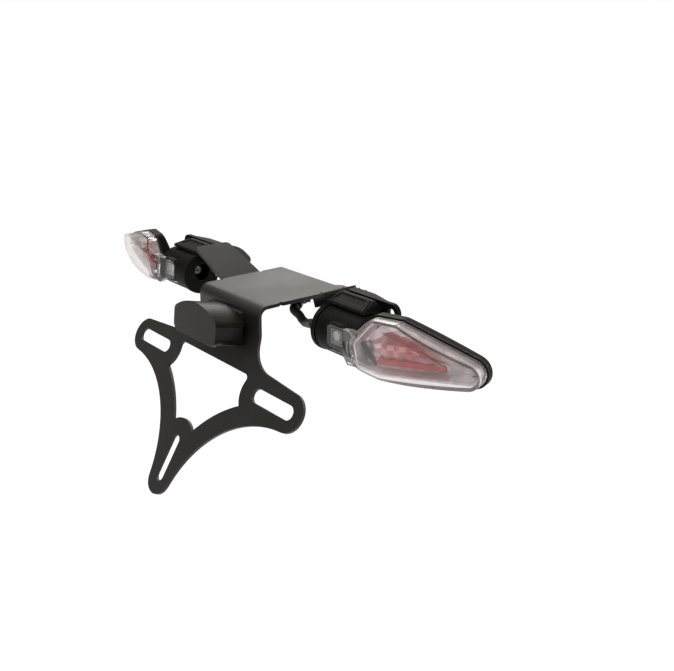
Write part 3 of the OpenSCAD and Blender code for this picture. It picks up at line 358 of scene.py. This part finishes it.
def makeRedAcrylic(s):
    # red acrylic light guide: clear enough to glow at its edges
    mat, tree, shader, coords = startMaterial(s["name"])
    mottle = addNode(tree, "ShaderNodeTexNoise", inputs={
        "Vector": coords, "Scale": perMetre / s["mottleSize"], "Detail": 1.0})
    colour = addNode(tree, "ShaderNodeValToRGB", inputs={"Fac": mottle.outputs["Fac"]}, stops=[
        (0.3, s["deep"]), (0.7, s["bright"])])
    # the lower arm is thick and deep red, the thin upper arm lets the tray shine through
    height = addNode(tree, "ShaderNodeSeparateXYZ", inputs={0: coords}).outputs[2]
    thin = addNode(tree, "ShaderNodeMapRange", {"interpolation_type": "SMOOTHSTEP"}, {
        "Value": height, "From Min": s["thinFrom"], "From Max": s["thinTo"]}).outputs["Result"]
    blend = addNode(tree, "ShaderNodeMix", {"data_type": "RGBA"}, {
        0: thin, 6: colour.outputs["Color"], 7: hexToLinear(s["thin"])})
    clear = addNode(tree, "ShaderNodeMapRange", inputs={
        "Value": thin, "To Min": s["clearness"][0], "To Max": s["clearness"][1]})
    setInputs(tree, shader, {
        "Base Color": blend.outputs[2], "Transmission Weight": clear.outputs["Result"],
        "IOR": s["ior"], "Roughness": s["roughness"]})
    return mat


solderMask = {
    "name": "circuitBoard", "glass": "#cfd0c8", "resin": "#c2c4bb", "weaveSize": 0.6, "roughness": 0.4}


def makeBoard(s):
    # glass fibre board under a white solder mask: the weave shows faintly as small squares
    mat, tree, shader, coords = startMaterial(s["name"])
    fibre = addNode(tree, "ShaderNodeTexChecker", inputs={
        "Vector": coords, "Scale": perMetre / s["weaveSize"],
        "Color1": hexToLinear(s["glass"]), "Color2": hexToLinear(s["resin"])})
    setInputs(tree, shader, {"Base Color": fibre.outputs["Color"], "Roughness": s["roughness"]})
    return mat


ledDome = {
    "name": "ledPhosphor", "dark": "#cfc9ae", "pale": "#ece8d6", "mottleSize": 1.2, "roughness": 0.25}


def makeLed(s):
    # phosphor under a silicone dome: pale yellow and slightly mottled
    mat, tree, shader, coords = startMaterial(s["name"])
    phosphor = addNode(tree, "ShaderNodeTexNoise", inputs={
        "Vector": coords, "Scale": perMetre / s["mottleSize"], "Detail": 1.0})
    colour = addNode(tree, "ShaderNodeValToRGB", inputs={"Fac": phosphor.outputs["Fac"]}, stops=[
        (0.3, s["dark"]), (0.7, s["pale"])])
    setInputs(tree, shader, {"Base Color": colour.outputs["Color"], "Roughness": s["roughness"]})
    return mat


housingPlastic = makeMoulded(grainedNylon, seat=windowSeat)
plugPlastic = makeMoulded(mouldedPlug)
mirrorFilm = makeMirrorFilm(trayFilm)
bowlFilm = makeMirrorFilm(linerFilm)

finishes = {
    makePowderCoat(powderCoat): ["bracket"],
    housingPlastic: ["housing_left", "housing_right", "end_cap_left", "end_cap_right"],
    makeMoulded(satinAbs): ["lamp_housing"],
    makeClear(lensPolycarbonate): ["lens_left", "lens_right"],
    makeClear(lampAcrylic): ["lamp_lens"],
    makePlatedSteel(zincPlate): ["weld_studs", "stud_washers", "stud_nuts", "lamp_screws", "lamp_washers"],
    makePlatedSteel(blackenedSteel): ["cap_screws"],
    makeRubber(padRubber): ["mounting_pad_left", "mounting_pad_right", "lamp_gasket"],
    makeSleeve(leadSleeve): ["lead_right"],
    mirrorFilm: ["reflector_left", "reflector_right"],
    makeRedAcrylic(guideAcrylic): ["light_guide_left", "light_guide_right"],
    makeBoard(solderMask): ["lamp_board", "led_board_left", "led_board_right", "window_led_boards"],
    makeLed(ledDome): ["lamp_leds", "turn_leds", "window_leds"],
    plugPlastic: ["lead_plug", "lead_clips"]}
for mat, names in finishes.items():
    for name in names:
        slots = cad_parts[name].data.materials
        slots.clear()
        slots.append(mat)
print("finishes set on", sum(len(names) for names in finishes.values()), "nodes")

# fine optics in the indicators, rib borders and lead straps: shapes are in millimetres of the frame

def addMesh(name, points, faces, mat, smooth=True):
    # points is an N x 3 array in metres of the frame, faces an M x 4 or M x 3 array
    mesh = bpy.data.meshes.new(name)
    mesh.from_pydata(points.tolist(), [], faces.tolist())
    mesh.polygons.foreach_set("use_smooth", np.full(len(faces), smooth))
    mesh.materials.append(mat)
    shell = bmesh.new()
    shell.from_mesh(mesh)
    bmesh.ops.recalc_face_normals(shell, faces=shell.faces)
    shell.to_mesh(mesh)
    shell.free()
    mesh.update()
    obj = bpy.data.objects.new(name, mesh)
    bpy.context.scene.collection.objects.link(obj)
    return obj


def gridFaces(rows, cols, closed=False):
    # quads of a rows x cols grid of points; closed joins the last column to the first
    last = cols if closed else cols - 1
    r, c = np.meshgrid(np.arange(rows - 1), np.arange(last), indexing="ij")
    a = (r * cols + c).ravel()
    b = (r * cols + (c + 1) % cols).ravel()
    return np.stack([a, b, b + cols, a + cols], axis=1)


def splitQuads(quads):
    # two triangles for each quad, cut from its first corner to its third
    return np.concatenate([quads[:, [0, 1, 2]], quads[:, [0, 2, 3]]])


def addBar(name, sections, mat, joined):
    # four-cornered bar through a count x 4 x 3 array of sections; joined makes a ring of it
    count = len(sections)
    i, k = np.meshgrid(np.arange(count if joined else count - 1), np.arange(4), indexing="ij")
    after = (i + 1) % count
    turn = (k + 1) % 4
    faces = np.stack([(i * 4 + k).ravel(), (i * 4 + turn).ravel(),
                      (after * 4 + turn).ravel(), (after * 4 + k).ravel()], axis=1)
    if not joined:
        ends = np.array([[3, 2, 1, 0], [0, 1, 2, 3]]) + np.array([[0], [4 * (count - 1)]])
        faces = np.concatenate([faces, ends])
    return addMesh(name, sections.reshape(-1, 3) * mm, faces, mat, smooth=False)


# the chamber's edge plane, and the circles that its outline runs round, each as u, v and radius
lensPlane = {
    "place": (100.0, -83.0, 18.0), "rake": 12.4,
    "chain": [(-0.5, -3, 5), (2, -10.3, 5.5), (12.3, -9.5, 7.5),
              (58.5, -2.8, 6.7), (20.5, 6.4, 7), (9.2, 6, 6.8)]}


def onLens(u, v, n, side):
    # place + u along the lens + v up + n out to the rear; side is 1 or -1 and mirrors x
    s = lensPlane
    turn = math.radians(s["rake"])
    x = s["place"][0] + u * math.cos(turn) + n * math.sin(turn)
    y = s["place"][1] + u * math.sin(turn) - n * math.cos(turn)
    z = s["place"][2] + v
    return np.stack(np.broadcast_arrays(side * x, y, z), axis=-1) * mm


def lensOutline(inset, count):
    # support points of the circles: for each direction q, the circle with the largest centre . q + radius
    t = np.linspace(0, 2 * math.pi, count, endpoint=False)
    q = np.stack([np.cos(t), np.sin(t)], axis=1)
    circles = np.array(lensPlane["chain"], dtype=float)
    best = np.argmax(q @ circles[:, :2].T + circles[:, 2], axis=1)
    return circles[best, :2] + (circles[best, 2] - inset)[:, None] * q


# bezel rings as inset and n, and a floor of facets; the floor's outline is parted at splitHeight into
# a lower and an upper edge, and endGap keeps the facets off the outline's two ends
trayShape = {
    "count": 480, "rings": [(1.95, -6.5), (1.95, -5.1), (2.15, -5.0), (2.15, -1.0), (2.2, -0.55),
                            (3.0, -0.6), (3.1, -1.0), (3.9, -3.4), (4.7, -5.3)],
    "cells": (18, 7), "floorInset": 4.6, "floorTop": -4.9, "facetRise": 1.5,
    "rimCount": 2000, "splitHeight": -3, "endGap": 0.05}


def makeBezel(side, name):
    # the lens outline at each ring's inset and n, from the lens wall in to the floor
    s = trayShape
    rings = [onLens(*lensOutline(inset, s["count"]).T, n, side) for inset, n in s["rings"]]
    return addMesh(name, np.concatenate(rings), gridFaces(len(rings), s["count"], closed=True), mirrorFilm)


def makeFacets(side, name):
    # a grid between the floor's lower and upper edge: n falls by half of facetRise on each odd row
    # and on each odd column, but not along the two edges
    s = trayShape
    rim = lensOutline(s["floorInset"], s["rimCount"])
    low, high = rim[rim[:, 1] < s["splitHeight"]], rim[rim[:, 1] >= s["splitHeight"]]
    low, high = low[np.argsort(low[:, 0])], high[np.argsort(high[:, 0])]
    cols, rows = s["cells"]
    u = np.linspace(rim[:, 0].min() + s["endGap"], rim[:, 0].max() - s["endGap"], cols + 1)
    share = np.linspace(0, 1, rows + 1)[:, None]
    v = np.interp(u, low[:, 0], low[:, 1]) * (1 - share) + np.interp(u, high[:, 0], high[:, 1]) * share
    sunk = (np.arange(cols + 1)[None, :] % 2) * 0.5 + (np.arange(rows + 1)[:, None] % 2) * 0.5
    edge = (share == 0) | (share == 1)
    n = s["floorTop"] - s["facetRise"] * np.where(edge, 0.0, sunk)
    points = onLens(np.broadcast_to(u, v.shape), v, n, side).reshape(-1, 3)
    return addMesh(name, points, splitQuads(gridFaces(rows + 1, cols + 1)), mirrorFilm, smooth=False)


# painted shade: a dark wedge between the tray and the lens's inner end, put where the tray's inner wall lies
# in shadow: its outline as u and v, and its reach in n
shadeWedgeShape = {
    "line": [(-2.4, 1.6), (-1.0, -3.4), (2.4, -8.1), (8.0, -12.2), (7.6, -11.2), (3.2, -6.4), (0.0, -2.2)],
    "low": -5.3, "high": -4.0}


def makeShadeWedge(side, name):
    # the outline at n = low joined to itself at n = high, with a fan of triangles over each end
    s = shadeWedgeShape
    u, v = np.array(s["line"]).T
    count = len(u)
    points = np.concatenate([onLens(u, v, n, side) for n in (s["low"], s["high"])])
    k = np.arange(1, count - 1)
    fan = np.stack([np.zeros_like(k), k, k + 1], axis=1)
    faces = np.concatenate([splitQuads(gridFaces(2, count, closed=True)), fan, fan + count])
    return addMesh(name, points, faces, housingPlastic, smooth=False)


# liner round the inner window's LED: its middle as x and z, and its rings as half width and y
bowlShape = {
    "place": (79.7, 13.9), "count": 96, "power": 5.0,
    "rings": [(1.2, -76.25), (2.9, -76.3), (3.3, -77.2), (3.95, -79.85), (3.95, -80.0)]}


def makeBowl(side, name):
    # superellipse rings: |x / a| ** p + |z / a| ** p = 1
    s = bowlShape
    t = np.linspace(0, 2 * math.pi, s["count"], endpoint=False)
    shape = (np.abs(np.cos(t)) ** s["power"] + np.abs(np.sin(t)) ** s["power"]) ** (-1 / s["power"])
    rings = [np.stack([side * (s["place"][0] + half * shape * np.cos(t)),
                       np.full_like(t, y), s["place"][1] + half * shape * np.sin(t)], axis=1)
             for half, y in s["rings"]]
    faces = gridFaces(len(rings), s["count"], closed=True)
    return addMesh(name, np.concatenate(rings) * mm, faces, bowlFilm)


# raised border on the sloped face of each rear rib, right side: the face's corners from the bottom's inner
# end round, and the border's inner corners as x and as a share of the way up the face
borderShape = {
    "corners": [(63.9, -71.9, 27.5), (90.4, -71.9, 27.5), (86.2, -62.5, 30.46), (63.9, -62.5, 30.46)],
    "inner": [(65.4, 0.3), (86.9, 0.3), (84.3, 0.88), (65.4, 0.88)], "rise": 0.5, "sink": 0.2}


def makeBorder(side, name):
    # a closed square tube: outer low, outer high, inner high, inner low
    s = borderShape
    outer = np.array(s["corners"])
    low, high = outer[0], outer[3]
    inner = np.array([(x, *(low[1:] + (high[1:] - low[1:]) * share)) for x, share in s["inner"]])
    along = high - low
    normal = np.array([0.0, -along[2], along[1]]) / np.hypot(along[1], along[2])
    loops = [outer - s["sink"] * normal, outer + s["rise"] * normal,
             inner + s["rise"] * normal, inner - s["sink"] * normal]
    return addBar(name, np.stack(loops, axis=1) * (side, 1, 1), housingPlastic, joined=True)


# moulded straps that hold the lead under the plate: the middle of each and the lead's way there
strapShape = {
    "places": [((26.43, -62.5, 13.25), (0.534, -0.846)), ((17.4, -50.1, 12.54), (0.698, -0.716))],
    "halfLength": 1.5, "reach": 4.6, "radius": 2.55, "skin": 0.7, "plateUnder": 15.98, "count": 24}


def makeStrap(place, way, name):
    # outline across the lead, inside and a skin further out: tab, half circle (-r cos t, -r sin t), tab
    s = strapShape
    t = np.linspace(0, math.pi, s["count"])
    top = s["plateUnder"] - place[2]
    outlines = []
    for r, tabTop in ((s["radius"], top), (s["radius"] + s["skin"], top - s["skin"])):
        arc = np.stack([-r * np.cos(t), -r * np.sin(t)], axis=1)
        tab = np.array([(-s["reach"], tabTop), (-r, tabTop)])
        outlines.append(np.concatenate([tab, arc, tab[::-1] * (-1, 1)]))
    inner, outer = outlines
    across = np.array([way[1], -way[0]])
    loops = []
    for outline, end in ((inner, -1), (outer, -1), (outer, 1), (inner, 1)):
        flat = np.array(place[:2]) + outline[:, :1] * across + end * s["halfLength"] * np.array(way)
        loops.append(np.concatenate([flat, place[2] + outline[:, 1:]], axis=1))
    return addBar(name, np.stack(loops, axis=1), plugPlastic, joined=False)


straps = [makeStrap(place, way, f"leadStrap{i + 1}") for i, (place, way) in enumerate(strapShape["places"])]
for strap in straps:
    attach(strap, "root")
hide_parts("lead_clips")

for side, word in ((1, "right"), (-1, "left")):
    border = makeBorder(side, word + "RibBorder")
    tray = makeBezel(side, word + "Tray")
    facets = makeFacets(side, word + "TrayFacets")
    # the dark wedge is painted shade: a dark piece where there is only shadow
    shadeWedge = makeShadeWedge(side, word + "ShadeWedge")
    bowl = makeBowl(side, word + "Bowl")
    for piece in (border, tray, facets, shadeWedge, bowl):
        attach(piece, "root")
    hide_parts("reflector_" + word)
print("trays, shadeWedges, window bowls, rib borders and lead straps made")

# floor, world, lamps, camera: places and sizes are in metres unless a note says otherwise

paperFloor = {
    "drop": 0.35, "half": 12.0, "colour": "#f4f4f4", "roughness": 0.9, "whitePart": 0.85, "whiteGlow": 1.12}


def makeSeenMask(tree):
    # 1 for what the camera, a mirror or glass sees, 0 for what only lights the object
    path = addNode(tree, "ShaderNodeLightPath")
    one = addNode(tree, "ShaderNodeMath", {"operation": "MAXIMUM"}, {
        0: path.outputs["Is Camera Ray"], 1: path.outputs["Is Glossy Ray"]})
    two = addNode(tree, "ShaderNodeMath", {"operation": "MAXIMUM"}, {
        0: one.outputs[0], 1: path.outputs["Is Transmission Ray"]})
    return two.outputs[0]


def makeFloor(s):
    # one square below the object; most of what is seen of it is plain white, the rest keeps the shadow
    low = loadedBox[0][2] - s["drop"]
    h = s["half"]
    mesh = bpy.data.meshes.new("floor")
    mesh.from_pydata([(-h, -h, low), (h, -h, low), (h, h, low), (-h, h, low)], [], [(0, 1, 2, 3)])
    floor = bpy.data.objects.new("floor", mesh)
    bpy.context.scene.collection.objects.link(floor)
    mat, tree, shader, coords = startMaterial("paperFloor")
    setInputs(tree, shader, {"Base Color": hexToLinear(s["colour"]), "Roughness": s["roughness"]})
    part = addNode(tree, "ShaderNodeMath", {"operation": "MULTIPLY"}, {
        0: makeSeenMask(tree), 1: s["whitePart"]})
    glow = addNode(tree, "ShaderNodeEmission", inputs={
        "Color": hexToLinear("#ffffff"), "Strength": s["whiteGlow"]})
    mix = addNode(tree, "ShaderNodeMixShader", inputs={
        0: part.outputs[0], 1: shader.outputs["BSDF"], 2: glow.outputs["Emission"]})
    showSurface(tree, mix.outputs["Shader"])
    mesh.materials.append(mat)


# white paper stands where the way to it has its height below paperTop and its share along paperWay
# above paperSide, each as where the change starts and ends
studioWorld = {
    "paperWay": (-0.2, 0.98, 0.0), "paperTop": (0.3, 0.6), "paperSide": (0.64, 0.8), "paperTone": 2.3,
    "paperColour": "#fff7ee", "wallTone": 0.34, "skyFill": 0.5}


def makeWorld(s):
    # a studio: white paper low behind the object, dimmer walls and ceiling elsewhere
    world = bpy.data.worlds.new("studio")
    bpy.context.scene.world = world
    world.use_nodes = True
    tree = world.node_tree
    tree.nodes.clear()
    way = addNode(tree, "ShaderNodeTexCoord").outputs["Generated"]
    height = addNode(tree, "ShaderNodeSeparateXYZ", inputs={"Vector": way}).outputs["Z"]
    facing = addNode(tree, "ShaderNodeVectorMath", {"operation": "DOT_PRODUCT"}, {
        0: way, 1: s["paperWay"]}).outputs["Value"]
    low = addNode(tree, "ShaderNodeMapRange", {"interpolation_type": "SMOOTHSTEP"}, {
        "Value": height, "From Min": s["paperTop"][0], "From Max": s["paperTop"][1],
        "To Min": 1.0, "To Max": 0.0})
    side = addNode(tree, "ShaderNodeMapRange", {"interpolation_type": "SMOOTHSTEP"}, {
        "Value": facing, "From Min": s["paperSide"][0], "From Max": s["paperSide"][1]})
    paper = addNode(tree, "ShaderNodeMath", {"operation": "MULTIPLY"}, {
        0: low.outputs["Result"], 1: side.outputs["Result"]})
    shown = addNode(tree, "ShaderNodeMapRange", inputs={
        "Value": paper.outputs[0], "To Min": s["wallTone"], "To Max": s["paperTone"]})
    strength = addNode(tree, "ShaderNodeMix", {"data_type": "FLOAT"}, {
        0: makeSeenMask(tree), 2: s["skyFill"], 3: shown.outputs["Result"]})
    sky = addNode(tree, "ShaderNodeBackground", inputs={
        "Color": hexToLinear(s["paperColour"]), "Strength": strength.outputs[0]})
    # the camera itself sees plain white behind the floor
    plain = addNode(tree, "ShaderNodeBackground", inputs={"Color": hexToLinear("#ffffff"), "Strength": 1.0})
    direct = addNode(tree, "ShaderNodeLightPath").outputs["Is Camera Ray"]
    mix = addNode(tree, "ShaderNodeMixShader", inputs={
        0: direct, 1: sky.outputs["Background"], 2: plain.outputs["Background"]})
    addNode(tree, "ShaderNodeOutputWorld", inputs={"Surface": mix.outputs["Shader"]})


# power in watts, size as the disc's diameter
lamps = {
    "keyLamp": {"power": 6.0, "size": 0.9, "place": (-0.35, -0.35, 1.1), "aim": (0, -0.06, 0)},
    "rimLamp": {"power": 2.6, "size": 0.7, "place": (-0.9, 0.5, 0.7), "aim": (0, -0.06, 0)}}


def makeLamp(name, s):
    lamp = bpy.data.lights.new(name, "AREA")
    lamp.energy = s["power"]
    lamp.shape = "DISK"
    lamp.size = s["size"]
    obj = bpy.data.objects.new(name, lamp)
    aim = Vector(s["aim"]) - Vector(s["place"])
    obj.matrix_world = Matrix.Translation(s["place"]) @ aim.to_track_quat("-Z", "Y").to_matrix().to_4x4()
    bpy.context.scene.collection.objects.link(obj)


# solved from the photograph: place, aim and film width in millimetres, roll in degrees
photoCamera = {
    "place": (345.4, -319.9, 148.6), "aim": (0.0, -7.2, -26.35), "roll": 1.06,
    "focalPixels": 756, "imageWidth": 674, "filmWidth": 36}


def makeCamera(s):
    place = Vector(s["place"]) * mm
    forward = (Vector(s["aim"]) * mm - place).normalized()
    side = forward.cross(Vector((0, 0, 1))).normalized()
    up = side.cross(forward)
    turn = math.radians(s["roll"])
    right = side * math.cos(turn) + up * math.sin(turn)
    top = up * math.cos(turn) - side * math.sin(turn)
    data = bpy.data.cameras.new("camera")
    data.sensor_width = s["filmWidth"]
    data.lens = s["filmWidth"] * s["focalPixels"] / s["imageWidth"]
    data.clip_start = 0.01
    cam = bpy.data.objects.new("camera", data)
    cam.matrix_world = Matrix((
        (right.x, top.x, -forward.x, place.x), (right.y, top.y, -forward.y, place.y),
        (right.z, top.z, -forward.z, place.z), (0, 0, 0, 1)))
    bpy.context.scene.collection.objects.link(cam)
    bpy.context.scene.camera = cam


makeFloor(paperFloor)
makeWorld(studioWorld)
for name, s in lamps.items():
    makeLamp(name, s)
makeCamera(photoCamera)
bpy.context.scene.view_settings.view_transform = "Standard"
print("stage ready")
